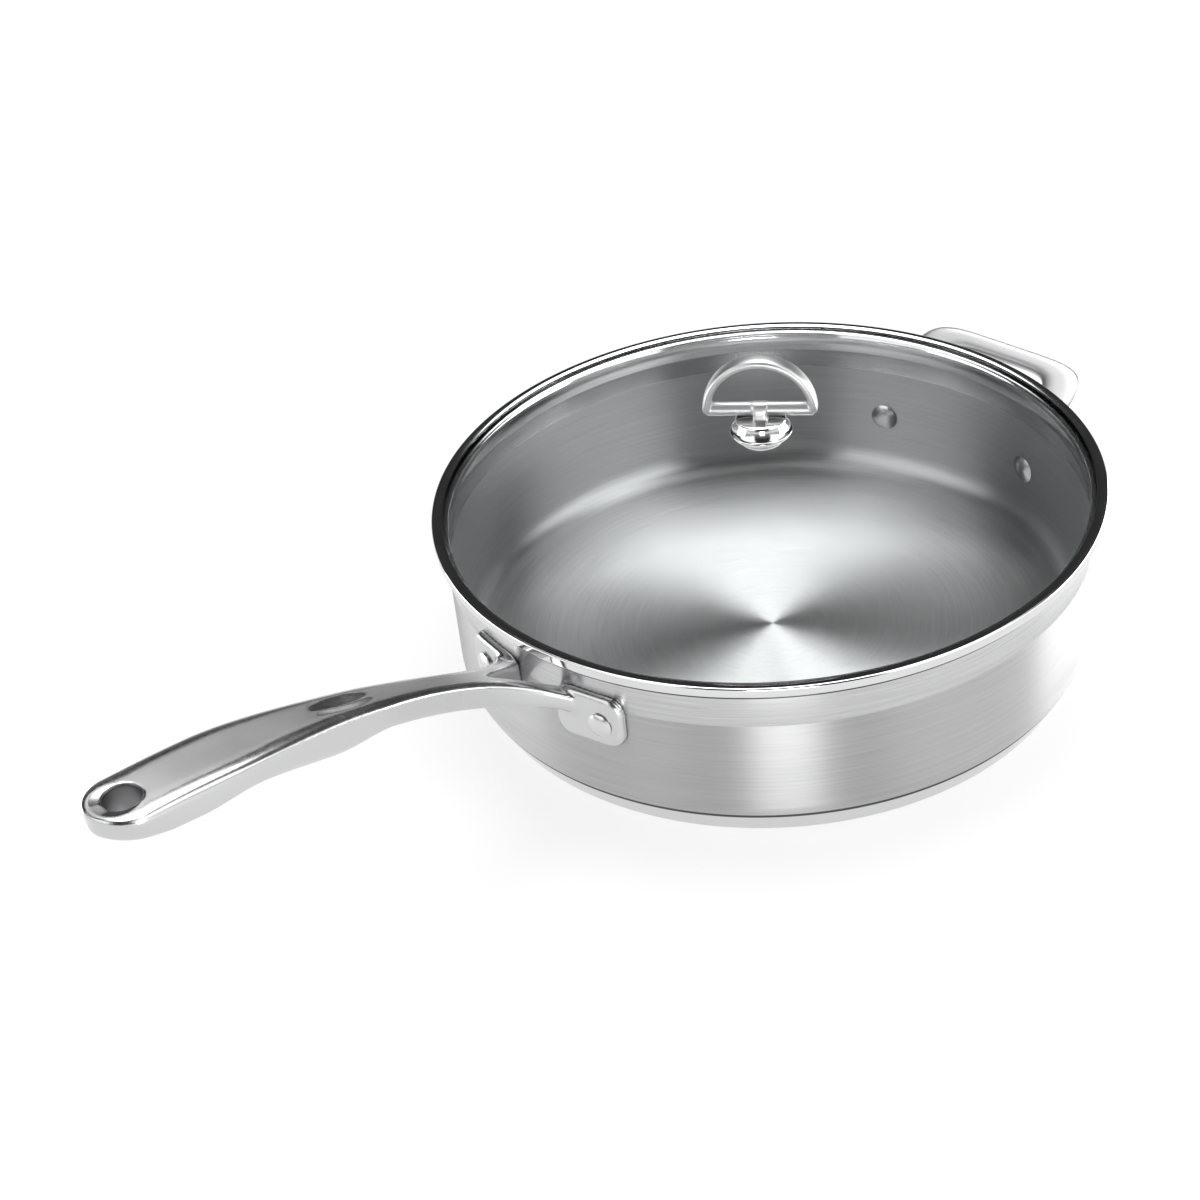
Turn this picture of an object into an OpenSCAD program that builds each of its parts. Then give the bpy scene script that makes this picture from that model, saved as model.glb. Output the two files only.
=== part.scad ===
// Saute pan with a domed glass lid. Sizes are in millimetres.
// The origin is the centre of the underside, +Z is up, and the long handle points along -X.

/* [Pan body] */
// Outer radius of the straight wall
pan_r = 141; // [125:1:160]
// Height of the rim above the surface that the pan stands on
rim_h = 77; // [74:1:95]
// Thickness of the steel body
wall_t = 1; // [0.8:0.1:1.4]
// Outer radius of the round corner between floor and wall
corner_r = 13; // [12:0.5:16]
// Radius of the flare under the pouring lip
lip_flare = 1.6; // [1.2:0.1:2]
// Width of the flat seat on top of the lip
lip_seat = 1; // [0.8:0.1:1.4]
// Height of the polished band below the rim
band_drop = 17; // [12:1:24]
// How far the polished band stands out from the wall below it
band_step = 0.3; // [0.1:0.05:0.5]

/* [Bonded base] */
// Thickness of the bonded base under the steel floor
base_t = 5.6; // [4.5:0.1:7]
// Thickness of the steel cap under the aluminium disc
cap_t = 0.7; // [0.5:0.1:1]
// Height of the cap's rim on the round corner
cap_h = 11.3; // [10.5:0.1:12.5]
// Distance from the wall in to the edge of the flat ring that the pan stands on
foot_inset = 10; // [9:0.5:13]
// Radius of the rounding under the cap's side
foot_round = 3.2; // [2:0.1:4]

/* [Long handle] */
// Distance from the wall to the hanging hole
hole_out = 190; // [175:1:210]
// Height of the handle's top at the hanging hole
hole_top_z = 127.8; // [120:0.1:134]
// Radius of the hanging hole
hole_r = 7.5; // [6:0.5:8.5]
// Distance from the hanging hole to the handle's tip
nose_r = 14.5; // [13.5:0.5:18]
// Radius of the dish around the top of the hanging hole
dish_r = 10; // [9:0.5:12]
// Depth of that dish
dish_d = 1.4; // [1:0.1:2]
// Depth of the flat ring around the hole on the underside
spot_d = 1.4; // [1.4:0.1:2]
// Distance from the wall to the control point that bends the handle
bend_out = 91; // [80:1:104]
// Height of that control point
bend_z = 119.6; // [114:0.2:126]
// Height of the handle's top where it meets the wall
root_z = 66; // [62:0.5:68]
// Width of the grip at its broadest
grip_w = 32.5; // [28:0.5:36]
// Width of the neck behind the fork
neck_w = 16; // [13:0.5:19]
// Thickness of the handle
grip_t = 13; // [11:0.5:14]
// Extra depth of the finger stop under the handle
keel_d = 6.5; // [3:0.5:8]
// Distance from the wall to the finger stop
keel_out = 105; // [97:1:115]
// Length over which the finger stop rises, behind it
keel_rise = 26; // [20:1:30]
// Length over which the finger stop runs out, before it
keel_fall = 50; // [40:1:60]
// Extra depth of the swelling before the hanging hole
swell_d = 3; // [0:0.5:3.5]
// Length over which that swelling rises, and again falls
swell_l = 30; // [26:1:34]
// Length of the thumb dent
dent_l = 27; // [20:1:32]
// Width of the thumb dent
dent_w = 10; // [8:0.5:13]
// Depth of the thumb dent
dent_d = 1.3; // [0.5:0.1:2]
// Distance from the wall to the crotch of the fork
crotch_out = 27; // [21:1:31]
// Distance from the handle's foot to the start of the fork
fork_l = 45; // [40:1:50]
// Half width of the gap between the arms, at the wall
gap_half = 11; // [8:0.5:12]

/* [Handle feet] */
// Thickness of the feet on the wall
foot_t = 3.5; // [2.5:0.1:4.5]
// Width of each foot of the long handle
long_foot_w = 32.5; // [30:0.5:36]
// Height of each foot of the long handle
long_foot_h = 24; // [23:0.5:27]
// Height of the middle of those feet
long_foot_z = 54.5; // [53:0.5:56]
// Corner radius of the feet
foot_corner = 7; // [5:0.5:9]
// Angle from the handle's middle to each rivet of the long handle
long_rivet_angle = 14; // [13:0.5:15.5]
// Height of the rivets of the long handle
long_rivet_z = 54; // [53:0.5:55.5]

/* [Helper handle] */
// Reach of the loop's middle line beyond the wall
loop_reach = 35.5; // [28:0.5:44]
// Half width of the loop's middle line
loop_half_w = 45; // [42:0.5:47]
// Height at which the loop's middle plane meets the wall
loop_root_z = 46.5; // [46:0.5:48]
// Slope of the loop, in degrees
loop_slope = 27; // [22:1:32]
// Width of the loop's strap in its middle
strap_w = 9.5; // [8:0.5:12]
// Width of the strap at the wall
strap_root_w = 16; // [13:0.5:18]
// Thickness of the strap
strap_t = 5; // [4:0.5:6]
// Width of each foot of the helper handle
help_foot_w = 26; // [24:0.5:28]
// Height of each foot of the helper handle
help_foot_h = 25; // [24:0.5:27]
// Height of the middle of those feet
help_foot_z = 37.5; // [36:0.5:39]
// Angle from the helper's middle to each of its rivets
help_rivet_angle = 17; // [16:0.5:18]
// Height of the rivets of the helper handle
help_rivet_z = 35.5; // [34:0.5:37]

/* [Rivets] */
// Radius of the rivets' shanks
shank_r = 2.6; // [2:0.1:3]
// Radius of the heads outside the pan
head_r = 5.3; // [4.5:0.1:6]
// Radius of the heads inside the pan
inner_head_r = 6.5; // [5:0.1:7]
// Height of the domed heads
head_h = 2.2; // [1.6:0.1:2.8]

/* [Lid] */
// Thickness of the tempered glass
glass_t = 3.5; // [3:0.1:4.5]
// Rise of the dome above its edge
dome_rise = 26.6; // [20:0.2:32]
// Radius of the hole for the knob's screw
glass_hole_r = 3.5; // [3.2:0.1:4.5]
// Thickness of the steel band around the glass
band_t = 0.55; // [0.4:0.05:0.8]
// How far the band reaches out past the pan's wall
band_reach = 4.8; // [4:0.1:6]
// Width of the band's lip on top of the glass
band_lip = 2.5; // [2:0.1:4]
// Depth of the band's skirt below the rim
skirt_drop = 7.5; // [5:0.5:10]
// Gap between the skirt and the inside of the wall
skirt_gap = 0.9; // [0.6:0.1:1.5]
// Gap between the band and the lip that it rests on
seat_gap = 0.3; // [0.3:0.05:0.5]

/* [Knob] */
// Turn of the knob's loop about the axis, in degrees
knob_turn = -54; // [-90:1:90]
// Outer radius of the loop's arch
arch_r = 25.3; // [22:0.1:29]
// Thickness of the arch
arch_t = 3.2; // [2.5:0.1:4]
// Depth of the arch, from face to face
arch_d = 8; // [6:0.5:10]
// Corner radius of the arch's section
arch_round = 1.3; // [0.8:0.1:1.5]
// Radius of the bar across the loop
bar_r = 2.7; // [2.4:0.1:3.5]
// Height of the bar's middle above the knob's base
bar_rise = 3.8; // [3.7:0.1:6]
// Width of the post under the bar
post_w = 6.8; // [6:0.2:8]
// Depth of the post, from face to face
post_d = 8.4; // [7:0.2:10]
// Radius of the base's flange
flange_r = 13.5; // [12.5:0.5:16]
// Radius of the base's shoulder
shoulder_r = 10.9; // [9.5:0.1:12]
// Radius of the flat top of the base
top_r = 7; // [6:0.5:8]
// Height of the base
knob_base_h = 6.6; // [6:0.2:9]
// Thickness of the seals above and below the glass
seal_t = 0.8; // [0.6:0.1:1.2]
// Radius of the seal and the washer under the glass
washer_r = 8; // [7:0.5:10]
// Thickness of the washer
washer_t = 1; // [0.8:0.1:1.5]
// Radius of the screw's thread
screw_r = 2; // [1.5:0.1:2.5]
// Radius of the screw's head
screw_head_r = 4.2; // [3.5:0.1:5]
// Height of the screw's head
screw_head_h = 2.4; // [2:0.1:3]
// Depth to which the screw enters the post
screw_bite = 5.5; // [4:0.5:6]

/* [Hidden] */
$fn = 180;
// Running clearance around the screw
screw_gap = 0.2;
// Overshoot of cutting tools past the faces they cut
over = 1;

// Length of the helper's legs inside the wall, where the wall cuts them off
leg_run = 12;

// Places of the body's section
lip_in = pan_r + band_step + lip_flare;
lip_end = lip_in + lip_seat;
step_z = rim_h - band_drop;
floor_z = base_t + wall_t;
corner_c = [pan_r - corner_r, base_t + corner_r];

// Places of the cap's section
foot_r = pan_r - foot_inset;
cap_top = [corner_c[0] + sqrt(pow(corner_r, 2) - pow(corner_c[1] - cap_h, 2)), cap_h];
round_c = [foot_r, foot_round];
cap_v = cap_top - round_c;
side_a = atan2(cap_v[1], cap_v[0]) - acos(foot_round / norm(cap_v));

// Places of the long handle
foot_face_r = pan_r + band_step + foot_t;
hole_x = pan_r + hole_out;
bend_x = pan_r + bend_out;
keel_x = pan_r + keel_out;
crotch_x = pan_r + crotch_out;
fork_x = foot_face_r + fork_l;
grip_x = hole_x - 2.5 * nose_r;
fork_spread = long_foot_w / 2 + 4;
spot_r = hole_r + 1.5;
rings = 22;
ring_sides = 24;

// Places of the lid
rib_r = glass_t / 2 + band_t;
band_c = [pan_r + band_reach - rib_r, rim_h + seat_gap + rib_r];
glass_edge_r = band_c[0];
dome_edge_r = glass_edge_r - band_lip;
dome_edge_z = band_c[1] + glass_t / 2;
dome_r = (pow(dome_edge_r, 2) + pow(dome_rise, 2)) / (2 * dome_rise);
dome_c = dome_edge_z + dome_rise - dome_r;
crown_z = dome_edge_z + dome_rise;
rim_flat_in = sqrt(pow(dome_r - glass_t, 2) - pow(band_c[1] - glass_t / 2 - dome_c, 2));
skirt_r = pan_r - wall_t - skirt_gap;

// Places of the knob
knob_z = crown_z + seal_t;
knob_top_z = knob_z + knob_base_h;
bar_z = knob_top_z + bar_rise;
under_z = crown_z - glass_t - seal_t;

// Points along an arc about c
function arc(c, r, a0, a1, n = 12) =
    [for (i = [0 : n]) let (a = a0 + (a1 - a0) * i / n) c + r * [cos(a), sin(a)]];

// The same points from last to first
function reversed(v) = [for (i = [len(v) - 1 : -1 : 0]) v[i]];

// A smooth step from 0 to 1 as u goes from 0 to 1
function ease(u) = let (k = min(max(u, 0), 1)) k * k * (3 - 2 * k);

// Signed power, which makes a circle's section squarer
function spow(v, p) = sign(v) * pow(abs(v), p);

// Body's surface from the axis to the lip, set inwards by t
function body_side(t) = concat(
    [[0, base_t + t]],
    arc(corner_c, corner_r - t, -90, 0),
    [[pan_r - t, step_z], [pan_r + band_step - t, step_z + 2 * band_step]],
    arc([lip_in, rim_h - wall_t - lip_flare], lip_flare + t, 180, 90, 8));

// Cap's surface from the axis to its rim, set inwards by t
function cap_side(t) = concat(
    [[0, t]],
    arc(round_c, foot_round - t, -90, side_a, 8),
    [cap_top - t * [cos(side_a), sin(side_a)]]);

module body_outline() {
    polygon(concat(body_side(0), [[lip_end, rim_h - wall_t], [lip_end, rim_h], [0, rim_h]]));
}

module body_solid() {
    rotate_extrude() body_outline();
}

// Puts its children at the wall, facing outwards at angle a and height z
module at_wall(a, z) {
    rotate([0, 0, a]) translate([0, 0, z]) rotate([90, 0, 90]) children();
}

module rounded_rect(w, h, r) {
    square([w - 2 * r, h], center = true);
    square([w, h - 2 * r], center = true);
    for (x = [-1, 1], y = [-1, 1])
        translate([x * (w / 2 - r), y * (h / 2 - r)]) circle(r);
}

// Foot of a handle: a rounded plate that wraps the wall
module wall_foot(a, z, w, h) {
    intersection() {
        translate([0, 0, z - h]) cylinder(r = foot_face_r, h = 2 * h);
        at_wall(a, z) linear_extrude(foot_face_r + over) rounded_rect(w, h, foot_corner);
    }
}

// Holes for the rivets at both sides of the middle angle
module rivet_holes(middle, a, z) {
    for (s = [-1, 1])
        at_wall(middle + s * a, z) translate([0, 0, pan_r / 2]) cylinder(r = shank_r, h = pan_r);
}

// Low dome of radius r and height h on the plane z = 0, with a stub of depth d under it
module dome_head(r, h, d) {
    ball_r = (r * r + h * h) / (2 * h);
    rotate_extrude()
        polygon(concat([[0, -d], [r, -d]], arc([0, h - ball_r], ball_r, 90 - 2 * atan(h / r), 90, 8)));
}

// Rivets at both sides of the middle angle, with heads on the foot and inside the wall
module rivet_pair(middle, a, z) {
    inside_r = pan_r - wall_t;
    for (s = [-1, 1]) {
        at_wall(middle + s * a, z) translate([0, 0, inside_r - over])
            cylinder(r = shank_r, h = foot_face_r - inside_r + 2 * over);
        difference() {
            at_wall(middle + s * a, z) translate([0, 0, foot_face_r]) dome_head(head_r, head_h, over);
            translate([0, 0, z - pan_r / 2]) cylinder(r = foot_face_r, h = pan_r);
        }
        intersection() {
            at_wall(middle + s * a, z) translate([0, 0, inside_r]) mirror([0, 0, 1])
                dome_head(inner_head_r, head_h, over);
            translate([0, 0, z - pan_r / 2]) cylinder(r = inside_r, h = pan_r);
        }
    }
}

// Solid through a list of rings of points
module skin(list) {
    n = len(list[0]);
    m = len(list);
    polyhedron(
        points = [for (r = list) each r],
        faces = concat(
            [[for (i = [n - 1 : -1 : 0]) i]],
            [for (j = [0 : m - 2], i = [0 : n - 1])
                let (a = j * n + i, b = j * n + (i + 1) % n) each [[a, b, a + n], [b, b + n, a + n]]],
            [[for (i = [0 : n - 1]) (m - 1) * n + i]]));
}

// Long handle: the point of its top line at t, from the wall to the hanging hole
function top_line(t) =
    pow(1 - t, 2) * [foot_face_r, root_z] + 2 * t * (1 - t) * [bend_x, bend_z]
    + t * t * [hole_x, hole_top_z];
function top_slope() = (hole_top_z - bend_z) / (hole_x - bend_x);
// Share of the way into the fork, 0 at the neck and 1 at the wall
function fork_share(x) = max(0, (fork_x - x) / (fork_x - foot_face_r));
function half_width(x) =
    neck_w / 2 + (grip_w - neck_w) / 2 * ease((x - fork_x) / (grip_x - fork_x))
    + (fork_spread - neck_w / 2 + 8) * pow(fork_share(x), 3);
function keel(x) = ease((x - keel_x) / keel_rise + 1) * (1 - ease((x - keel_x) / keel_fall));
function swell(x) = let (u = (x - hole_x) / swell_l) ease(u + 1.7) * (1 - ease(u + 0.4));
function depth(x) = grip_t + keel_d * keel(x) + swell_d * swell(x);
function under_share(x) =
    0.86 - 0.34 * keel(x) + 0.1 * ease(fork_share(x) * 3) - 0.1 * ease((x - hole_x) / swell_l + 1);
function dent(x, y) =
    let (q = pow((x - bend_x - 3) / (dent_l / 2), 2) + pow(y / (dent_w / 2), 2))
    q < 1 ? dent_d * pow(1 - q, 1.5) : 0;

// One ring of the long handle at distance x, with its top at z, half width w and depth d
function handle_ring(x, z, w, d, square_p = 0.5) =
    [for (i = [0 : ring_sides - 1])
        let (a = i * 360 / ring_sides, u = spow(cos(a), square_p), v = spow(sin(a), square_p),
            side = 1 - (1 - under_share(x)) * (1 - v) / 2, y = w * u * side)
        [-x, y, z - d / 2 + d / 2 * v - (v > 0.9 ? dent(x, y) : 0)]];

handle_rings = concat(
    [handle_ring(pan_r - 3, root_z - 3, half_width(foot_face_r - 3), depth(foot_face_r))],
    [for (i = [0 : rings]) let (p = top_line(i / rings))
        handle_ring(p[0], p[1], min(half_width(p[0]), fork_spread + 8), depth(p[0]))],
    [for (a = [15 : 15 : 75]) let (x = hole_x + nose_r * sin(a))
        handle_ring(x, hole_top_z + top_slope() * (x - hole_x) - 1.6 * (1 - cos(a)),
            half_width(hole_x) * cos(a), depth(x) - 6 * (1 - cos(a)))]);

module long_handle_blank() {
    skin(handle_rings);
    for (s = [-1, 1])
        wall_foot(180 + s * asin((gap_half + long_foot_w / 2) / foot_face_r), long_foot_z,
            long_foot_w, long_foot_h);
}

module long_handle() {
    color("silver") difference() {
        long_handle_blank();
        body_solid();
        rivet_holes(180, long_rivet_angle, long_rivet_z);
        translate([-hole_x, 0, hole_top_z - 4 * grip_t]) cylinder(r = hole_r, h = 8 * grip_t);
        translate([-hole_x, 0, hole_top_z - dish_d]) cylinder(r = dish_r, h = grip_t);
        translate([-hole_x, 0, hole_top_z - 2 * grip_t]) cylinder(r = spot_r, h = grip_t + spot_d);
        translate([0, 0, long_foot_z - long_foot_h]) linear_extrude(2 * long_foot_h)
            polygon([[-crotch_x, 0], [-pan_r + over, gap_half + 1], [-pan_r + over, -gap_half - 1]]);
    }
}

module long_handle_rivets() {
    color("gainsboro") rivet_pair(180, long_rivet_angle, long_rivet_z);
}

// Helper handle: rings along its loop, from one leg over the middle to the other
loop_steps = 24;
strap_sides = 12;
loop_square = 0.36;

// Point of the loop's middle line in its own plane at angle a, from -90 to 90
function loop_point(a) =
    [loop_reach / cos(loop_slope) * spow(cos(a), loop_square),
        loop_half_w * spow(sin(a), loop_square)];
function loop_angle(i) = 176 * i / loop_steps - 88;
function strap_ring(i) =
    let (a = loop_angle(i), p = loop_point(a), q = loop_point(a + 1), r = loop_point(a - 1),
        along = (q - r) / norm(q - r), out = [along[1], -along[0]],
        w = strap_w + (strap_root_w - strap_w) * pow(1 - p[0] / loop_point(0)[0], 2))
    [for (k = [0 : strap_sides - 1])
        let (b = k * 360 / strap_sides + 15, e = p + out * w / 2 * spow(cos(b), 0.6),
            h = strap_t / 2 * spow(sin(b), 0.6))
        [pan_r + e[0] * cos(loop_slope) - h * sin(loop_slope), e[1],
            loop_root_z + e[0] * sin(loop_slope) + h * cos(loop_slope)]];
// Ring of a leg's end, pushed through the wall so that the wall can cut it
function leg_end(i) =
    let (e = loop_point(loop_angle(i))[0] + leg_run, back = e * [cos(loop_slope), 0, sin(loop_slope)])
    [for (p = strap_ring(i)) p - back];

module helper_handle() {
    color("silver") difference() {
        union() {
            skin(concat([leg_end(0)], [for (i = [0 : loop_steps]) strap_ring(i)],
                [leg_end(loop_steps)]));
            for (s = [-1, 1])
                wall_foot(s * help_rivet_angle, help_foot_z, help_foot_w, help_foot_h);
        }
        body_solid();
        rivet_holes(0, help_rivet_angle, help_rivet_z);
    }
}

module helper_handle_rivets() {
    color("gainsboro") rivet_pair(0, help_rivet_angle, help_rivet_z);
}

module pan_body() {
    color("lightgray") difference() {
        rotate_extrude() polygon(concat(
            body_side(0), arc([lip_end, rim_h - wall_t / 2], wall_t / 2, -90, 90, 6),
            reversed(body_side(wall_t))));
        rivet_holes(180, long_rivet_angle, long_rivet_z);
        rivet_holes(0, help_rivet_angle, help_rivet_z);
    }
}

module base_core() {
    color("darkgray") rotate_extrude() difference() {
        polygon(concat(cap_side(cap_t), [[0, cap_side(cap_t)[10][1]]]));
        body_outline();
    }
}

module base_cap() {
    color("gainsboro") rotate_extrude() difference() {
        polygon(concat(cap_side(0), reversed(cap_side(cap_t))));
        body_outline();
    }
}

// Section of the glass's flat edge
module glass_edge() {
    translate([rim_flat_in, band_c[1] - glass_t / 2]) square([glass_edge_r - rim_flat_in, glass_t]);
    translate(band_c) circle(glass_t / 2);
}

module lid_glass() {
    color("lightblue", 0.4) difference() {
        union() {
            intersection() {
                difference() {
                    translate([0, 0, dome_c]) sphere(dome_r);
                    translate([0, 0, dome_c]) sphere(dome_r - glass_t);
                }
                translate([0, 0, band_c[1] - glass_t / 2]) cylinder(r = dome_edge_r, h = 2 * dome_rise);
            }
            rotate_extrude() glass_edge();
        }
        translate([0, 0, under_z]) cylinder(r = glass_hole_r, h = 3 * glass_t);
    }
}

module lid_band() {
    skirt_in = skirt_r - band_t;
    color("gainsboro") rotate_extrude() difference() {
        union() {
            translate(band_c) circle(rib_r);
            translate([dome_edge_r, band_c[1]]) square([band_lip, rib_r]);
            translate([skirt_in, band_c[1] - rib_r]) square([band_c[0] - skirt_in, band_t]);
            translate([skirt_in, rim_h - skirt_drop])
                square([band_t, band_c[1] - glass_t / 2 - rim_h + skirt_drop]);
        }
        translate(band_c) circle(glass_t / 2);
        translate([band_c[0] - 2 * rib_r, band_c[1] - glass_t / 2]) square([2 * rib_r, glass_t]);
    }
}

// Points on the glass's surface from radius r0 to r1, set inwards by t
function dome_side(t, r0, r1, n = 8) =
    [for (i = [0 : n]) let (r = r0 + (r1 - r0) * i / n)
        [r, dome_c + sqrt(pow(dome_r - t, 2) - r * r)]];

module knob_base() {
    flange_t = 1.5;
    waist = [flange_r - 1.2, knob_z + flange_t + 0.6];
    color("gainsboro") rotate_extrude() polygon(concat(
        [[screw_r + screw_gap, knob_z], [flange_r - 0.5, knob_z]],
        arc([flange_r - flange_t / 2, knob_z + flange_t / 2], flange_t / 2, -60, 60, 6),
        [waist, [shoulder_r + 0.5, knob_z + knob_base_h * 0.5]],
        [[shoulder_r, knob_z + knob_base_h * 0.68], [shoulder_r - 0.8, knob_z + knob_base_h * 0.85]],
        [[top_r, knob_top_z], [screw_r + screw_gap, knob_top_z]]));
}

module knob_loop() {
    mid_r = arch_r - arch_t / 2;
    color("silver") rotate([0, 0, knob_turn]) difference() {
        union() {
            translate([0, 0, bar_z]) intersection() {
                rotate([90, 0, 0]) rotate_extrude() translate([mid_r, 0])
                    rounded_rect(arch_t, arch_d, arch_round);
                translate([-arch_r - over, -arch_d, -bar_r])
                    cube([2 * (arch_r + over), 2 * arch_d, 2 * arch_r]);
            }
            translate([-mid_r, 0, bar_z]) rotate([0, 90, 0]) cylinder(r = bar_r, h = 2 * mid_r);
            translate([-post_w / 2, -post_d / 2, knob_top_z])
                cube([post_w, post_d, bar_rise + bar_r - 0.2]);
        }
        translate([0, 0, knob_top_z - over]) cylinder(r = screw_r, h = screw_bite + over);
    }
}

module knob_seal() {
    seal_r = flange_r - 0.9;
    color("dimgray") rotate_extrude() polygon(concat(
        dome_side(0, screw_r + screw_gap, seal_r),
        [[seal_r, knob_z], [screw_r + screw_gap, knob_z]]));
}

module under_seal() {
    sleeve_r = glass_hole_r - screw_gap;
    sleeve_z = crown_z - 2 * screw_gap;
    color("dimgray") rotate_extrude() polygon(concat(
        [[screw_r + screw_gap, under_z], [washer_r + 1, under_z]],
        reversed(dome_side(glass_t, sleeve_r, washer_r + 1)),
        [[sleeve_r, sleeve_z], [screw_r + screw_gap, sleeve_z]]));
}

module knob_washer() {
    color("gainsboro") translate([0, 0, under_z - washer_t]) difference() {
        cylinder(r = washer_r, h = washer_t);
        translate([0, 0, -over]) cylinder(r = screw_r + screw_gap, h = washer_t + 2 * over);
    }
}

module knob_screw() {
    head_z = under_z - washer_t;
    color("silver") {
        translate([0, 0, head_z]) mirror([0, 0, 1]) dome_head(screw_head_r, screw_head_h, 0);
        translate([0, 0, head_z - over]) cylinder(r = screw_r, h = knob_top_z + screw_bite - head_z + over);
    }
}

pan_body();
base_core();
base_cap();
long_handle();
long_handle_rivets();
helper_handle();
helper_handle_rivets();
lid_glass();
lid_band();
knob_base();
knob_loop();
knob_seal();
under_seal();
knob_washer();
knob_screw();
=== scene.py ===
"""Looks of the saute pan with its glass lid. Lengths are in metres, in the row frame."""
import math

import bmesh
import bpy
from mathutils import Matrix, Vector


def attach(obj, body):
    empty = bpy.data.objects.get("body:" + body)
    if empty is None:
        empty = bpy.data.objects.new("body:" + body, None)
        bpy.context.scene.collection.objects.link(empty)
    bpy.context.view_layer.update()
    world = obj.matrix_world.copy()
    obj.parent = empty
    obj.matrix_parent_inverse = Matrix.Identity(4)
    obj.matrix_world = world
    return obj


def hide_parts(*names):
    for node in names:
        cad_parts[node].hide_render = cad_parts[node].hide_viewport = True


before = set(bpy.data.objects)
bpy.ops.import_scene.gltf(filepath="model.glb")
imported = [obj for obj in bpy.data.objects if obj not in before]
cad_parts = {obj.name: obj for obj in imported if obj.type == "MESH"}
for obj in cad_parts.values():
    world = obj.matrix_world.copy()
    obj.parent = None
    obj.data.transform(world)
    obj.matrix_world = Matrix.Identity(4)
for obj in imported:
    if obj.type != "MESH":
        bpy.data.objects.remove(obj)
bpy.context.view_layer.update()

MM = 0.001
ROUND = 256

# Camera, fitted to the photo's 1200 x 1200 frame
PHOTO_W = 1200
FOCAL_PX = 2210.9
CAMERA_AT = (-0.5985, -0.5504, 0.5993)
CAMERA_RIGHT = (0.694701, -0.713232, -0.093224)
CAMERA_DOWN = (-0.466853, -0.348488, -0.812776)

# Studio: the directions to the pan's back and to its right as the camera sees them.
# A panel is its two spans of slope, the softness of its edges and its strength.
BACK_DIRECTION = (0.669, 0.743, 0)
SIDE_DIRECTION = (0.743, -0.669, 0)
ROOM_LEVELS = (0.22, 0.03)
TOP_PANEL = ((0.05, 0.95), (-0.25, 0.45), 0.09, 5.6)
SIDE_PANELS = (
    (1, (-1.8, 0.1), (0.12, 2.2), 0.05, 1.9),
    (-1, (-1.43, 0.1), (0.12, 2.2), 0.05, 1.5),
)
# Strip boxes near the floor: how far to the side and back, width, height, radiance
STRIPS = (
    ("front_strip", -0.03, -0.45, 0.14, 0.12, 10),
    ("right_strip", 0.43, 0.06, 0.38, 0.15, 9),
    ("left_strip", -0.43, 0.03, 0.3, 0.15, 3.5),
)

# Pan body and base, in millimetres
PAN_R = 141
RIM_H = 77
WALL_T = 1
CORNER_R = 13
LIP_FLARE = 1.6
LIP_SEAT = 1
STEP_Z = 60
BAND_STEP = 0.3
BASE_T = 5.6
CAP_T = 0.7
CAP_H = 11.3
FOOT_R = 131
FOOT_ROUND = 3.2
LIP_STEPS = 12

# Long handle, along -X; x counts outwards from the pan's axis
HOLE_X = 331
HOLE_TOP_Z = 127.8
HOLE_R = 7.5
NOSE_R = 14.5
DISH_R = 9
DISH_D = 1
BEND_X = 232
BEND_Z = 119.6
ROOT_Z = 66
GRIP_W = 32.5
NECK_W = 16
GRIP_T = 13
KEEL_D = 6.5
KEEL_X = 246
KEEL_RISE = 26
KEEL_FALL = 50
SWELL_D = 3
SWELL_L = 30
DENT_L = 33
DENT_W = 11
DENT_D = 1.3
DENT_X = 237
CROTCH_X = 168
GAP_HALF = 11
FOOT_T = 3.5
FOOT_FACE_R = PAN_R + BAND_STEP + FOOT_T
LONG_FOOT_W = 32.5
LONG_FOOT_H = 24
LONG_FOOT_Z = 54.5
FOOT_CORNER = 7
FORK_X = FOOT_FACE_R + 45
GRIP_X = HOLE_X - 2.5 * NOSE_R
FLARE_W = 14
KINK_X = HOLE_X - 8
GRIP_STEPS = 110
NOSE_TRIM = 0.45
NOSE_DROP = 0.8
NOSE_THIN = 1.5
FOOT_ROOT_R = PAN_R - 4
# Zones that are smoothed once more: distance from the axis, from the middle plane, height, rounds
PLATE_ZONE = ((142.8, 160), (13, 32), (46, 64), 60)
FORK_ZONE = ((142.2, 175), (8, 99), (-99, 84), 14)

# Rivets
RIVET_R = 5.3
INNER_RIVET_R = 6.5
HEAD_H = 2.2
LONG_RIVET_ANGLE = 13.3
LONG_RIVET_Z = 53.4
HELP_RIVET_ANGLE = 17
HELP_RIVET_Z = 35.5
HEAD_SKIRT = 0.3
HEAD_SINK = 0.4

# Helper handle
LOOP_REACH = 35.5
LOOP_HALF_W = 45
LOOP_ROOT_Z = 46.5
LOOP_SLOPE = math.radians(27)
LOOP_SQUARE = 0.36
LOOP_TURN = math.radians(88)
LOOP_STEPS = 120
LOOP_ROOT_IN = 14
STRAP_W = 9.5
STRAP_OUT = 3
LOOP_INNER_W = 30
STRAP_T = 5
HELP_FOOT_W = 26
HELP_FOOT_H = 25
HELP_FOOT_Z = 37.5

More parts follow.
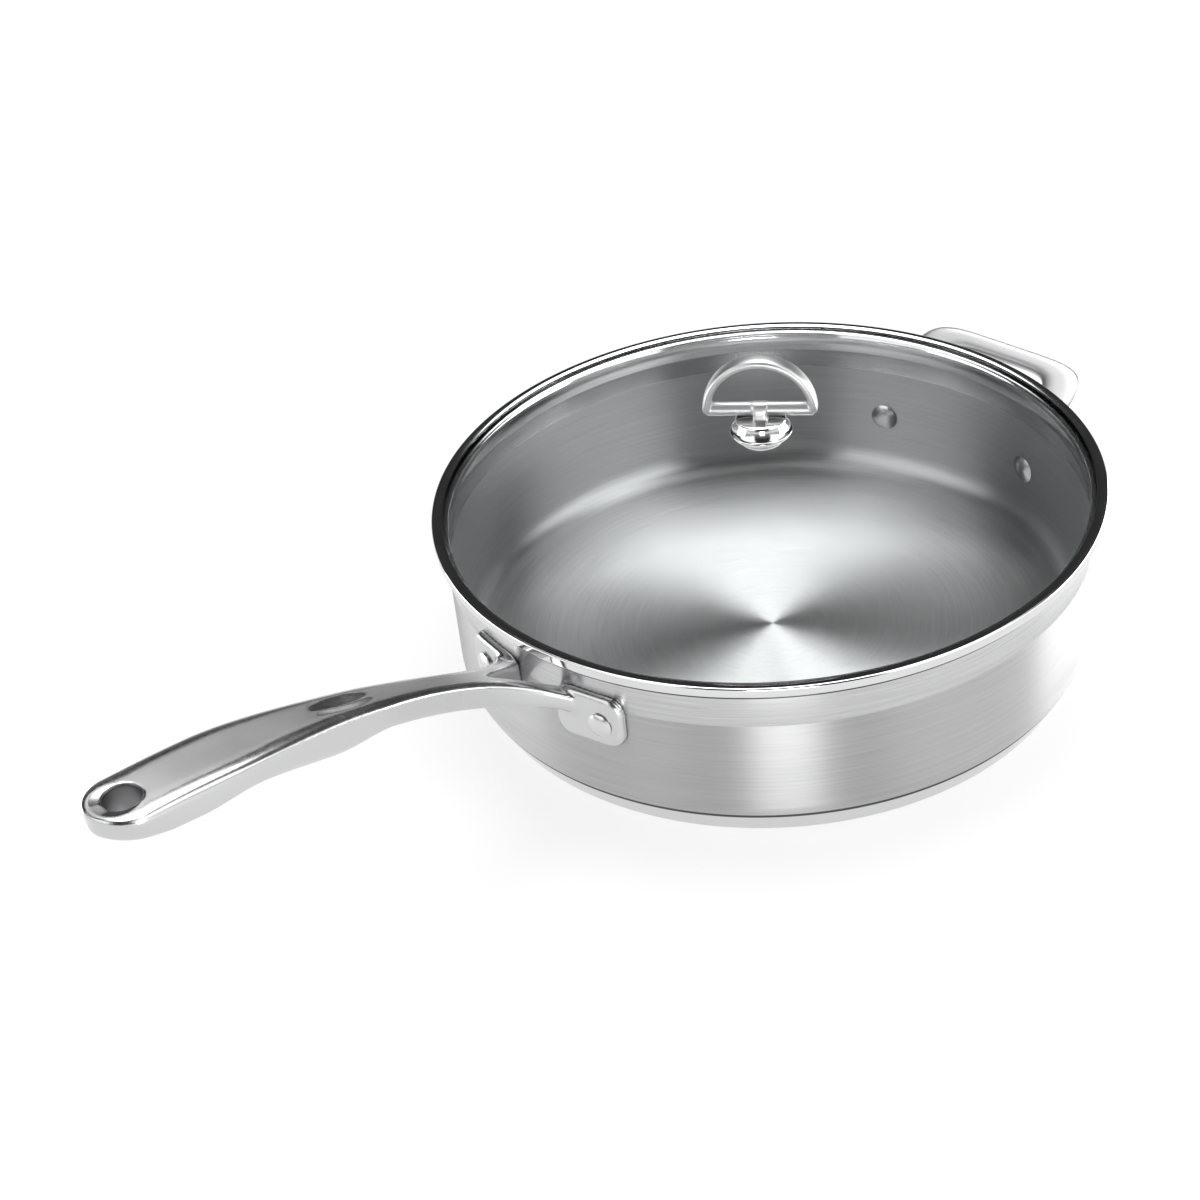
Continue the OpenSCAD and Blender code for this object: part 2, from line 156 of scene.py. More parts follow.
# Lid
GLASS_T = 3.5
DOME_RISE = 26.6
GLASS_HOLE_R = 3.5
BAND_T = 0.55
BAND_REACH = 4.8
BAND_LIP = 2.5
SKIRT_DROP = 7.5
SKIRT_GAP = 0.9
SEAT_GAP = 0.3
RIB_R = GLASS_T / 2 + BAND_T
BAND_R = PAN_R + BAND_REACH - RIB_R
BAND_Z = RIM_H + SEAT_GAP + RIB_R
DOME_EDGE_R = BAND_R - BAND_LIP
DOME_EDGE_Z = BAND_Z + GLASS_T / 2
DOME_R = (DOME_EDGE_R ** 2 + DOME_RISE ** 2) / (2 * DOME_RISE)
DOME_C = DOME_EDGE_Z + DOME_RISE - DOME_R
CROWN_Z = DOME_EDGE_Z + DOME_RISE
SKIRT_R = PAN_R - WALL_T - SKIRT_GAP
BAND_LOW_ROUND = 1.1
BAND_TOP_ROUND = 0.8

# Knob
KNOB_TURN = math.radians(-54)
ARCH_R = 25.3
ARCH_T = 3.2
ARCH_D = 8
BAR_R = 2.7
BAR_RISE = 3.8
POST_W = 6.8
POST_D = 8.4
FLANGE_R = 13.5
SHOULDER_R = 10.9
KNOB_BASE_H = 6.6
SEAL_T = 0.8
SCREW_R = 2
KNOB_Z = CROWN_Z + SEAL_T
KNOB_TOP_Z = KNOB_Z + KNOB_BASE_H
BAR_Z = KNOB_TOP_Z + BAR_RISE
RING_SQUEEZE = 0.975
RING_R = ARCH_R - ARCH_T / 2 - 0.4
RING_SIDES = 28
RING_STEPS = 80
RING_START = -3
RING_SWEEP = 186
BAR_THICK_R = BAR_R + 0.3
BAR_LIFT = 0.4
BELL_SIDE = ((12.75, 1.3), (12.35, 1.6), (11.85, 2.5), (11.35, 3.7), (10.95, 5.1))
BELL_CROWN = ((8.2, 6.8), (6, 6.95), (SCREW_R + 0.2, 7))

# Steel and glass
LINES_PER_METRE = 1000
LINES_AROUND = 3
BROAD_LINES = 0.04
INNER_WALL_ROUGH = 0.36
INNER_FLOOR_ROUGH = 0.33
POLISHED_ROUGH = 0.25
POLISHED_COLOUR = (0.56, 0.56, 0.565)
# Painted shade: a near-black colour laid on the body's outside along the seam above the base cap and
# just below the lid's band.
PAINTED_SHADE_COLOUR = (0.06, 0.06, 0.06)
# Painted shade on the wall of the long handle's hanging hole; the extra roughness below is its
# unpolished finish.
HOLE_SHADE_COLOUR = (0.22, 0.22, 0.225)
HOLE_ROUGHER = 0.2
# Far below real glass, so that the lid mirrors the white surroundings only faintly
GLASS_IOR = 1.05
GLASS_COLOUR = (0.97, 0.985, 0.98)
SILICONE_COLOUR = (0.78, 0.79, 0.79)

# Floor
FLOOR_SIZE = 6
FLOOR_COLOUR = (0.9, 0.9, 0.9)
FLOOR_GLOW = 0.75


def arc(cx, cz, r, start, end, n=16):
    """Points along an arc about (cx, cz), angles in degrees."""
    steps = [math.radians(start + (end - start) * i / n) for i in range(n + 1)]
    return [(cx + r * math.cos(a), cz + r * math.sin(a)) for a in steps]


def ease(u):
    """0 up to 0, 1 from 1 on, smooth in between."""
    k = min(max(u, 0), 1)
    return k * k * (3 - 2 * k)


def power(v, p):
    """A power that keeps the sign, for rounded squares."""
    return math.copysign(abs(v) ** p, v)


def new_object(name, verts, faces, smooth_angle=35):
    """A shaded mesh object from points in millimetres."""
    mesh = bpy.data.meshes.new(name)
    mesh.from_pydata([tuple(c * MM for c in v) for v in verts], [], faces)
    work = bmesh.new()
    work.from_mesh(mesh)
    bmesh.ops.remove_doubles(work, verts=work.verts, dist=1e-6)
    bmesh.ops.recalc_face_normals(work, faces=work.faces)
    work.to_mesh(mesh)
    work.free()
    mesh.shade_smooth()
    mesh.set_sharp_from_angle(angle=math.radians(smooth_angle))
    piece = bpy.data.objects.new(name, mesh)
    bpy.context.scene.collection.objects.link(piece)
    return piece


def lathe(name, outline, segments=ROUND, smooth_angle=35):
    """A solid of revolution about Z from a closed outline of (radius, height)."""
    n = len(outline)
    verts = []
    for j in range(segments):
        a = 2 * math.pi * j / segments
        verts += [(r * math.cos(a), r * math.sin(a), z) for r, z in outline]
    faces = []
    for j in range(segments):
        here, there = j * n, (j + 1) % segments * n
        for i in range(n):
            k = (i + 1) % n
            if outline[i][0] > 0 or outline[k][0] > 0:
                faces.append((here + i, there + i, there + k, here + k))
    return new_object(name, verts, faces, smooth_angle)


def loft(name, rings, smooth_angle=35):
    """A solid through closed rings of points, with flat ends."""
    n = len(rings[0])
    verts = [p for ring in rings for p in ring]
    faces = [tuple(range(n)), tuple((len(rings) - 1) * n + i for i in range(n))]
    for j in range(len(rings) - 1):
        for i in range(n):
            a, b = j * n + i, j * n + (i + 1) % n
            faces.append((a, b, b + n, a + n))
    return new_object(name, verts, faces, smooth_angle)


def apply_all(piece):
    """Turns a piece's modifiers into plain mesh."""
    graph = bpy.context.evaluated_depsgraph_get()
    mesh = bpy.data.meshes.new_from_object(piece.evaluated_get(graph))
    piece.modifiers.clear()
    old = piece.data
    piece.data = mesh
    bpy.data.meshes.remove(old)
    return piece


def combine(piece, tools, operation):
    """Joins tools to a piece or cuts them out of it, and removes the tools."""
    for tool in tools:
        step = piece.modifiers.new("cut", "BOOLEAN")
        step.operation = operation
        step.solver = "EXACT"
        step.object = tool
        apply_all(piece)
        bpy.data.objects.remove(tool)
    return piece


def melt(piece, voxel, rounds):
    """Turns a joined casting into one even mesh with softly rounded edges."""
    step = piece.modifiers.new("even", "REMESH")
    step.mode = "VOXEL"
    step.voxel_size = voxel * MM
    step = piece.modifiers.new("soft", "SMOOTH")
    step.factor = 0.5
    step.iterations = rounds
    apply_all(piece)
    piece.data.shade_smooth()
    return piece


def soften(piece, radii, sides, heights, rounds):
    """Smooths only a zone of a mesh: distance from the axis, from the middle plane, height."""
    group = piece.vertex_groups.new(name="soft")
    inside = []
    for vertex in piece.data.vertices:
        at = vertex.co / MM
        near = radii[0] < math.hypot(at.x, at.y) < radii[1]
        if near and sides[0] < abs(at.y) < sides[1] and heights[0] < at.z < heights[1]:
            inside.append(vertex.index)
    group.add(inside, 1, "REPLACE")
    step = piece.modifiers.new("soft", "SMOOTH")
    step.vertex_group = "soft"
    step.iterations = rounds
    apply_all(piece)
    piece.vertex_groups.clear()


def finish_piece(piece, body, slot, material, *nodes):
    piece.data.materials.clear()
    piece.data.materials.append(material)
    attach(piece, body)
    if nodes:
        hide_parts(*nodes)
    return piece


# Materials

class Nodes:
    """A short hand for building one material's node tree."""

    def __init__(self, name):
        self.material = bpy.data.materials.new(name)
        self.material.use_nodes = True
        self.start(self.material.node_tree, "ShaderNodeOutputMaterial")

    @classmethod
    def of_tree(cls, tree, output):
        nodes = cls.__new__(cls)
        nodes.start(tree, output)
        return nodes

    def start(self, tree, output):
        self.tree = tree
        self.tree.nodes.clear()
        self.output = self.add(output)

    def add(self, kind, **settings):
        node = self.tree.nodes.new(kind)
        for key, value in settings.items():
            setattr(node, key, value)
        return node

    def link(self, source, target):
        self.tree.links.new(source, target)

    def feed(self, socket, value):
        """Links a socket to another one, or sets it to a number or a colour."""
        if isinstance(value, bpy.types.NodeSocket):
            self.link(value, socket)
        elif isinstance(value, tuple):
            socket.default_value = (*value, 1)
        else:
            socket.default_value = value

    def math(self, operation, a, b=0.0):
        node = self.add("ShaderNodeMath", operation=operation)
        self.feed(node.inputs[0], a)
        self.feed(node.inputs[1], b)
        return node.outputs[0]

    def length(self, a, b):
        square_a = self.math("MULTIPLY", a, a)
        square_b = self.math("MULTIPLY", b, b)
        return self.math("SQRT", self.math("ADD", square_a, square_b))

    def blend(self, share, first, second, way="MIX"):
        """Mixes two colours."""
        node = self.add("ShaderNodeMix", data_type="RGBA", blend_type=way)
        self.feed(node.inputs[0], share)
        self.feed(node.inputs[6], first)
        self.feed(node.inputs[7], second)
        return node.outputs[2]

    def remap(self, value, low, high, to_low, to_high, smooth=False):
        node = self.add("ShaderNodeMapRange")
        node.interpolation_type = "SMOOTHSTEP" if smooth else "LINEAR"
        self.link(value, node.inputs["Value"])
        names = ("From Min", "From Max", "To Min", "To Max")
        for key, number in zip(names, (low, high, to_low, to_high)):
            node.inputs[key].default_value = number
        return node.outputs[0]

    def dot(self, vector, direction):
        node = self.add("ShaderNodeVectorMath", operation="DOT_PRODUCT")
        self.link(vector, node.inputs[0])
        node.inputs[1].default_value = direction
        return node.outputs["Value"]

    def span(self, value, low, high, soft):
        """1 between low and high with soft ends, 0 outside."""
        rise = self.remap(value, low - soft, low + soft, 0, 1, smooth=True)
        fall = self.remap(value, high - soft, high + soft, 1, 0, smooth=True)
        return self.math("MULTIPLY", rise, fall)

    def panel(self, u, v, u_span, v_span, soft, strength):
        shape = self.math("MULTIPLY", self.span(u, *u_span, soft), self.span(v, *v_span, soft))
        return self.math("MULTIPLY", shape, strength)

    def object_xyz(self):
        where = self.add("ShaderNodeTexCoord")
        split = self.add("ShaderNodeSeparateXYZ")
        self.link(where.outputs["Object"], split.inputs[0])
        return where.outputs["Object"], split.outputs

    def noise(self, vector, scale, detail=3.0, rough=0.5):
        node = self.add("ShaderNodeTexNoise")
        self.link(vector, node.inputs["Vector"])
        node.inputs["Scale"].default_value = scale
        node.inputs["Detail"].default_value = detail
        node.inputs["Roughness"].default_value = rough
        return node.outputs["Fac"]

    def combine(self, x, y, z):
        node = self.add("ShaderNodeCombineXYZ")
        for socket, value in zip(node.inputs, (x, y, z)):
            self.feed(socket, value)
        return node.outputs[0]

    def bump(self, height, strength, distance):
        node = self.add("ShaderNodeBump")
        node.inputs["Strength"].default_value = strength
        node.inputs["Distance"].default_value = distance
        self.link(height, node.inputs["Height"])
        return node.outputs[0]


def metal_shader(nodes, colour, anisotropic=0.0):
    shader = nodes.add("ShaderNodeBsdfPrincipled")
    shader.inputs["Base Color"].default_value = (*colour, 1)
    shader.inputs["Metallic"].default_value = 1
    shader.inputs["Anisotropic"].default_value = anisotropic
    shader.inputs["Anisotropic Rotation"].default_value = 0.25 if anisotropic else 0
    nodes.link(shader.outputs[0], nodes.output.inputs["Surface"])
    return shader


class TurnedSteel(Nodes):
    """Steel brushed in circles about the pan's axis."""

    def __init__(self, name, colour, rough, anisotropic):
        super().__init__(name)
        self.shader = metal_shader(self, colour, anisotropic)
        _, (x, y, z) = self.object_xyz()
        self.height = z
        self.radius = self.length(x, y)
        safe = self.math("MAXIMUM", self.radius, 0.0005)
        self.outward = [self.math("DIVIDE", value, safe) for value in (x, y)]
        around = [self.math("MULTIPLY", value, LINES_AROUND) for value in self.outward]
        across = self.math("MULTIPLY", self.math("ADD", self.radius, z), LINES_PER_METRE)
        self.lines = self.noise(self.combine(*around, across), 1.0, 4.0, 0.65)
        wide = self.math("MULTIPLY", across, BROAD_LINES)
        broad = self.noise(self.combine(*around, wide), 0.8)
        fine = self.remap(self.lines, 0.3, 0.7, rough - 0.03, rough + 0.03)
        self.gloss = self.math("ADD", fine, self.remap(broad, 0.35, 0.65, -0.008, 0.008))

    def finish(self, depth, line_depth):
        """Adds the bump of the brushed lines and turns the highlight around the axis."""
        self.link(self.bump(depth, 0.25, line_depth * MM), self.shader.inputs["Normal"])
        tangent = self.add("ShaderNodeTangent", direction_type="RADIAL", axis="Z")
        self.link(tangent.outputs[0], self.shader.inputs["Tangent"])
        return self.material


def turned_steel(name, colour, rough, line_depth, anisotropic):
    """Turned metal that is the same all over."""
    nodes = TurnedSteel(name, colour, rough, anisotropic)
    nodes.link(nodes.gloss, nodes.shader.inputs["Roughness"])
    return nodes.finish(nodes.lines, line_depth)


def body_steel(name, colour, rough, line_depth, anisotropic):
    """Turned steel with a polished band below the rim, a smoother inside, and painted shade at the
    cap's seam and under the lip.
    """
    nodes = TurnedSteel(name, colour, rough, anisotropic)
    facing = nodes.add("ShaderNodeTexCoord").outputs["Normal"]
    outward = nodes.add("ShaderNodeVectorMath", operation="DOT_PRODUCT")
    nodes.link(facing, outward.inputs[0])
    nodes.link(nodes.combine(*nodes.outward, -1), outward.inputs[1])
    inside = nodes.remap(outward.outputs["Value"], -0.1, 0.1, 1, 0)
    outside = nodes.math("SUBTRACT", 1, inside)
    band = nodes.remap(nodes.height, (STEP_Z - 0.2) * MM, (STEP_Z + 0.2) * MM, 0, 1)

    level = nodes.math("ABSOLUTE", nodes.dot(facing, (0, 0, 1)))
    inner_rough = nodes.remap(level, 0.2, 0.9, INNER_WALL_ROUGH, INNER_FLOOR_ROUGH)
    smoother = nodes.math("MULTIPLY", inside, nodes.math("SUBTRACT", rough, inner_rough))
    mix = nodes.add("ShaderNodeMix")
    nodes.link(band, mix.inputs[0])
    nodes.link(nodes.math("SUBTRACT", nodes.gloss, smoother), mix.inputs[2])
    mix.inputs[3].default_value = POLISHED_ROUGH
    nodes.link(mix.outputs[0], nodes.shader.inputs["Roughness"])

    tint = nodes.blend(nodes.math("MULTIPLY", band, outside), colour, POLISHED_COLOUR)
    # Painted shade in the crease above the base cap and a painted shadow on the outer wall just below
    # the lid's band.
    cap_seam_shade = nodes.span(nodes.height, (CAP_H - 0.3) * MM, (CAP_H + 2.2) * MM, 0.3 * MM)
    lip_shadow = nodes.remap(nodes.height, (RIM_H - 3.4) * MM, (RIM_H - 2.9) * MM, 0, 1)
    dark = nodes.math("MULTIPLY", nodes.math("MAXIMUM", cap_seam_shade, lip_shadow), outside)
    tint = nodes.blend(dark, tint, PAINTED_SHADE_COLOUR)
    streak = nodes.remap(nodes.lines, 0.3, 0.7, 0.91, 1.09)
    tint = nodes.blend(1, tint, nodes.combine(streak, streak, streak), "MULTIPLY")
    nodes.link(tint, nodes.shader.inputs["Base Color"])

    depth = nodes.math("MULTIPLY", nodes.lines, nodes.math("SUBTRACT", 1.15, band))
    depth = nodes.math("MULTIPLY", depth, nodes.remap(nodes.radius, 0.01, 0.06, 0.1, 1))
    return nodes.finish(depth, line_depth)


def cast_steel(name, colour, rough, spread, grain=0.02, top_rough=None, hole=None):
    """Polished casting with faint grain; its level top may be satin and its hole unpolished, with
    painted shade on the hole's wall.
    """
    nodes = Nodes(name)
    shader = metal_shader(nodes, colour)
    where, xyz = nodes.object_xyz()
    fine = nodes.noise(where, 500, 2.0, 0.5)
    broad = nodes.noise(where, 45, 2.0)
    half = spread / 2
    gloss = nodes.math(
        "ADD", nodes.remap(fine, 0.3, 0.7, rough - half, rough + half),
        nodes.remap(broad, 0.35, 0.65, -half, half))
    if top_rough is not None:
        satin = nodes.math("MULTIPLY", level_top(nodes, broad), top_rough - rough)
        gloss = nodes.math("ADD", gloss, satin)
    if hole is not None:
        hole_x, hole_r = hole
        away = nodes.length(nodes.math("ADD", xyz[0], hole_x * MM), xyz[1])
        inside = nodes.remap(away, (hole_r - 0.1) * MM, (hole_r + 0.1) * MM, 1, 0)
        # The hole's wall: painted shade in its colour and a rougher, unpolished finish.
        nodes.link(nodes.blend(inside, colour, HOLE_SHADE_COLOUR), shader.inputs["Base Color"])
        gloss = nodes.math("ADD", gloss, nodes.math("MULTIPLY", inside, HOLE_ROUGHER))
    nodes.link(gloss, shader.inputs["Roughness"])
    nodes.link(nodes.bump(fine, 0.08, grain * MM), shader.inputs["Normal"])
    return nodes.material


def level_top(nodes, broad):
    """1 on a surface that faces up and has no slope sideways, with a slightly wandering edge."""
    facing = nodes.add("ShaderNodeTexCoord").outputs["Normal"]
    sideways = nodes.math("ABSOLUTE", nodes.dot(facing, (0, 1, 0)))
    wander = nodes.math("ADD", sideways, nodes.remap(broad, 0.3, 0.7, -0.015, 0.015))
    return nodes.math(
        "MULTIPLY", nodes.remap(wander, 0.03, 0.09, 1, 0, smooth=True),
        nodes.remap(nodes.dot(facing, (0, 0, 1)), 0.6, 0.8, 0, 1))


def clear_glass(name):
    """Glass with faint smears; shadows and soft light pass it unbent."""
    nodes = Nodes(name)
    shader = nodes.add("ShaderNodeBsdfPrincipled")
    shader.inputs["Base Color"].default_value = (*GLASS_COLOUR, 1)
    shader.inputs["Transmission Weight"].default_value = 1
    shader.inputs["IOR"].default_value = GLASS_IOR
    where, _ = nodes.object_xyz()
    smear = nodes.noise(where, 28, 2.0)
    nodes.link(nodes.remap(smear, 0.3, 0.7, 0.0, 0.02), shader.inputs["Roughness"])
    clear = nodes.add("ShaderNodeBsdfTransparent")
    path = nodes.add("ShaderNodeLightPath")
    unbent = nodes.math("MAXIMUM", path.outputs["Is Shadow Ray"], path.outputs["Is Diffuse Ray"])
    mix = nodes.add("ShaderNodeMixShader")
    nodes.link(unbent, mix.inputs[0])
    nodes.link(shader.outputs[0], mix.inputs[1])
    nodes.link(clear.outputs[0], mix.inputs[2])
    nodes.link(mix.outputs[0], nodes.output.inputs["Surface"])
    return nodes.material


def silicone(name):
    nodes = Nodes(name)
    shader = nodes.add("ShaderNodeBsdfPrincipled")
    shader.inputs["Base Color"].default_value = (*SILICONE_COLOUR, 1)
    shader.inputs["Subsurface Weight"].default_value = 0.2
    shader.inputs["Subsurface Radius"].default_value = (0.002, 0.002, 0.002)
    where, _ = nodes.object_xyz()
    dust = nodes.noise(where, 400, 3.0)
    nodes.link(nodes.remap(dust, 0.3, 0.7, 0.38, 0.5), shader.inputs["Roughness"])
    nodes.link(nodes.bump(dust, 0.1, 0.05 * MM), shader.inputs["Normal"])
    nodes.link(shader.outputs[0], nodes.output.inputs["Surface"])
    return nodes.material


BODY_STEEL = body_steel("body_steel", (0.46, 0.46, 0.465), 0.42, 0.008, 0.88)
CAP_STEEL = turned_steel("cap_steel", (0.66, 0.66, 0.665), 0.3, 0.008, 0.6)
CORE_ALUMINIUM = turned_steel("core_aluminium", (0.78, 0.78, 0.79), 0.4, 0.01, 0.2)
HANDLE_STEEL = cast_steel(
    "handle_steel", (0.6, 0.6, 0.605), 0.24, 0.04, top_rough=0.42, hole=(HOLE_X, HOLE_R))
HELPER_STEEL = cast_steel("helper_steel", (0.55, 0.55, 0.555), 0.42, 0.04)
RIVET_STEEL = cast_steel("rivet_steel", (0.66, 0.66, 0.665), 0.2, 0.03)
BAND_STEEL = cast_steel("band_steel", (0.7, 0.7, 0.705), 0.1, 0.02, 0.01)
KNOB_STEEL = cast_steel("knob_steel", (0.68, 0.68, 0.685), 0.14, 0.02, 0.01)
LOOP_STEEL = cast_steel("loop_steel", (0.62, 0.62, 0.625), 0.42, 0.04, 0.01)
SCREW_STEEL = cast_steel("screw_steel", (0.6, 0.6, 0.61), 0.25, 0.05)
GLASS = clear_glass("lid_glass")
SEAL = silicone("clear_silicone")


# Pan body and base

def body_side(inset):
    """The shell's outline on its outside, or inset from it."""
    lip_x = PAN_R + BAND_STEP + LIP_FLARE
    lip_z = RIM_H - WALL_T - LIP_FLARE
    return (
        [(0, BASE_T + inset), (60, BASE_T + inset), (110, BASE_T + inset)]
        + arc(PAN_R - CORNER_R, BASE_T + CORNER_R, CORNER_R - inset, -90, 0, 20)
        + [(PAN_R - inset, STEP_Z - 0.4), (PAN_R - inset, STEP_Z)]
        + [(PAN_R + BAND_STEP - inset, STEP_Z + 2 * BAND_STEP)]
        + arc(lip_x, lip_z, LIP_FLARE + inset, 180, 90, LIP_STEPS)
    )


def make_body():
    lip_end = PAN_R + BAND_STEP + LIP_FLARE + LIP_SEAT
    lip = arc(lip_end, RIM_H - WALL_T / 2, WALL_T / 2, -90, 90, 10)
    outline = body_side(0) + lip + list(reversed(body_side(WALL_T)))
    piece = lathe("body_shell", outline, ROUND, 50)
    finish_piece(piece, "pan", "brushed_body", BODY_STEEL, "pan_body")


def cap_outline(inset):
    """The base cap's outline on its outside, or inset from it."""
    corner = (PAN_R - CORNER_R, BASE_T + CORNER_R)
    top = (corner[0] + math.sqrt(CORNER_R ** 2 - (corner[1] - CAP_H) ** 2), CAP_H)
    reach = Vector(top) - Vector((FOOT_R, FOOT_ROUND))
    side = math.degrees(math.atan2(reach.y, reach.x) - math.acos(FOOT_ROUND / reach.length))
    turn = math.radians(side)
    end = (top[0] - inset * math.cos(turn), top[1] - inset * math.sin(turn))
    return [(0, inset)] + arc(FOOT_R, FOOT_ROUND, FOOT_ROUND - inset, -90, side, 12) + [end]


def dress_node(name, material):
    """Gives a CAD piece that stays in the scene its material."""
    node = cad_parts[name]
    node.data.materials.clear()
    node.data.materials.append(material)


def make_base():
    outline = cap_outline(0) + list(reversed(cap_outline(CAP_T)))
    piece = lathe("base_shell", outline, ROUND, 50)
    finish_piece(piece, "pan", "base_cap_steel", CAP_STEEL, "base_cap")
    dress_node("base_core", CORE_ALUMINIUM)


# Lid

def dome_side(inset, start, end, n):
    steps = [start + (end - start) * i / n for i in range(n + 1)]
    return [(r, DOME_C + math.sqrt((DOME_R - inset) ** 2 - r * r)) for r in steps]


def make_glass():
    edge = arc(BAND_R, BAND_Z, GLASS_T / 2, 90, -90, 10)
    flat_in = math.sqrt((DOME_R - GLASS_T) ** 2 - (BAND_Z - GLASS_T / 2 - DOME_C) ** 2)
    outline = (
        dome_side(0, GLASS_HOLE_R, DOME_EDGE_R, 40) + edge
        + dome_side(GLASS_T, flat_in, GLASS_HOLE_R, 40)
    )
    glass = lathe("glass_dome", outline, ROUND, 40)
    finish_piece(glass, "lid", "clear_glass", GLASS, "lid_glass")


def make_band():
    """The steel band: a channel around the glass's edge and a skirt inside the pan."""
    skirt_in = SKIRT_R - BAND_T
    skirt_end = RIM_H - SKIRT_DROP
    rim_top = BAND_Z + RIB_R
    under = BAND_Z - GLASS_T / 2
    bottom = BAND_Z - RIB_R
    outer = BAND_R + RIB_R - 0.01
    band = (
        [(DOME_EDGE_R + 0.2, rim_top - BAND_T)] + arc(BAND_R, BAND_Z, GLASS_T / 2, 90, -90, 12)
        + [(skirt_in + 0.3, under), (skirt_in, under - 0.3), (skirt_in, skirt_end + 0.2)]
        + [(skirt_in + 0.15, skirt_end), (SKIRT_R - 0.15, skirt_end)]
        + [(SKIRT_R, skirt_end + 0.2), (SKIRT_R, bottom - 0.5), (SKIRT_R + 0.5, bottom)]
        + arc(outer - BAND_LOW_ROUND, bottom + BAND_LOW_ROUND, BAND_LOW_ROUND, -90, 0, 8)
        + arc(outer - BAND_TOP_ROUND, rim_top - BAND_TOP_ROUND, BAND_TOP_ROUND, 0, 90, 8)
        + [(DOME_EDGE_R + 0.3, rim_top), (DOME_EDGE_R, rim_top - 0.25)]
    )
    piece = lathe("rim_band", band, ROUND, 50)
    finish_piece(piece, "lid", "lid_band_steel", BAND_STEEL, "lid_band")


def make_knob():
    edge = FLANGE_R - 0.6
    shoulder = arc(SHOULDER_R - 1.2, 5.5, 1.15, 20, 80, 10)
    outline = (
        [(SCREW_R + 0.2, KNOB_Z), (edge, KNOB_Z)] + arc(edge, KNOB_Z + 0.6, 0.6, -60, 60, 10)
        + [(r, KNOB_Z + z) for r, z in (*BELL_SIDE, *shoulder, *BELL_CROWN)]
    )
    piece = lathe("knob_bell", outline, 128, 60)
    finish_piece(piece, "lid", "knob_steel", KNOB_STEEL, "knob_base")
    dress_node("knob_seal", SEAL)
    dress_node("under_seal", SEAL)
    dress_node("knob_washer", SCREW_STEEL)
    dress_node("knob_screw", SCREW_STEEL)


def ring_section():
    """The knob ring's section, as (outwards, along the ring's axis)."""
    section = []
    for i in range(RING_SIDES):
        a = 2 * math.pi * i / RING_SIDES
        out = (ARCH_T / 2 + 0.35) * power(math.cos(a), 0.7)
        along = (ARCH_D / 2 + 0.3) * power(math.sin(a), 0.6)
        section.append((out, along))
    return section


def ring_rings():
    """The half ring, broadest at its crown and rounded at both ends."""
    section = ring_section()
    rings = []
    for i in range(RING_STEPS + 1):
        t = i / RING_STEPS
        a = math.radians(RING_START + RING_SWEEP * t)
        end = min(t, 1 - t) * RING_STEPS
        tip = math.sqrt(1 - (1 - min(end / 3, 1)) ** 2) * 0.55 + 0.45
        thin = 1 - 0.22 * (1 - math.sin(max(min(a, math.pi), 0))) ** 2
        out = Vector((math.cos(a), 0, math.sin(a)))
        ring = [out * (RING_R + u * tip) + Vector((0, v * thin * tip, 0)) for u, v in section]
        rings.append([(x * RING_SQUEEZE, y, z) for x, y, z in ring])
    return rings


def loop_bar():
    turn = [2 * math.pi * i / 40 for i in range(40)]
    rings = []
    for x in (-RING_R * RING_SQUEEZE, RING_R * RING_SQUEEZE):
        rings.append([
            (x, BAR_THICK_R * math.cos(a), BAR_THICK_R * math.sin(a) + BAR_LIFT) for a in turn])
    return loft("bar", rings)


def loop_post():
    """The post from the bell up around the bar, as (height, width, depth)."""
    foot = KNOB_TOP_Z - BAR_Z
    profile = (
        (foot, POST_W, POST_D), (foot + 0.8, 6.2, 8.1), (foot + 2, 5.8, 7.8),
        (foot + 3.4, 5.9, 7.6), (foot + 4.8, 6.4, 7), (2.3, 6.7, 5.9), (3.1, 6.7, 4.2), (3.5, 6.5, 1.6),
    )
    turn = [2 * math.pi * (i + 0.5) / 28 for i in range(28)]
    rings = []
    for z, width, deep in profile:
        rings.append([
            (width / 2 * power(math.cos(t), 0.25), deep / 2 * power(math.sin(t), 0.25), z)
            for t in turn])
    return loft("post", rings)


def make_loop():
    piece = loft("knob_ring", ring_rings())
    combine(piece, [loop_bar(), loop_post()], "UNION")
    melt(piece, 0.28, 8)
    lift = Matrix.Translation((0, 0, BAR_Z * MM))
    piece.data.transform(lift @ Matrix.Rotation(KNOB_TURN, 4, "Z"))
    finish_piece(piece, "lid", "knob_steel", LOOP_STEEL, "knob_loop")


# Handles

def foot_plate(angle, z, width, height):
    """A rounded plate that wraps the wall at an angle in degrees."""
    rim = []
    out_y, out_z = width / 2 - FOOT_CORNER, height / 2 - FOOT_CORNER
    for y, h, start in ((1, 1, 0), (-1, 1, 90), (-1, -1, 180), (1, -1, 270)):
        rim += arc(y * out_y, h * out_z, FOOT_CORNER, start, start + 90, 10)
    turn = math.radians(angle)
    rings = []
    bevel = ((2.4, 0), (1.3, 0.25), (0.6, 0.75), (0.15, 1.5), (0, 2.5))
    levels = ((FOOT_ROOT_R, 0), *((FOOT_FACE_R - drop, inset) for drop, inset in bevel))
    for radius, inset in levels:
        ring = []
        for y, h in rim:
            y, h = y * (1 - 2 * inset / width), h * (1 - 2 * inset / height)
            x = math.sqrt(radius ** 2 - y * y)
            ring.append((
                x * math.cos(turn) - y * math.sin(turn),
                x * math.sin(turn) + y * math.cos(turn), z + h))
        rings.append(ring)
    return loft("foot", rings)


def wall_tool():
    """The pan's outside as a cutting tool."""
    above = RIM_H + 60
    outline = body_side(0)[:-(LIP_STEPS + 1)]
    outline += [(PAN_R + BAND_STEP, STEP_Z + 1), (PAN_R + BAND_STEP, above), (0, above)]
    return lathe("wall", outline, 180)


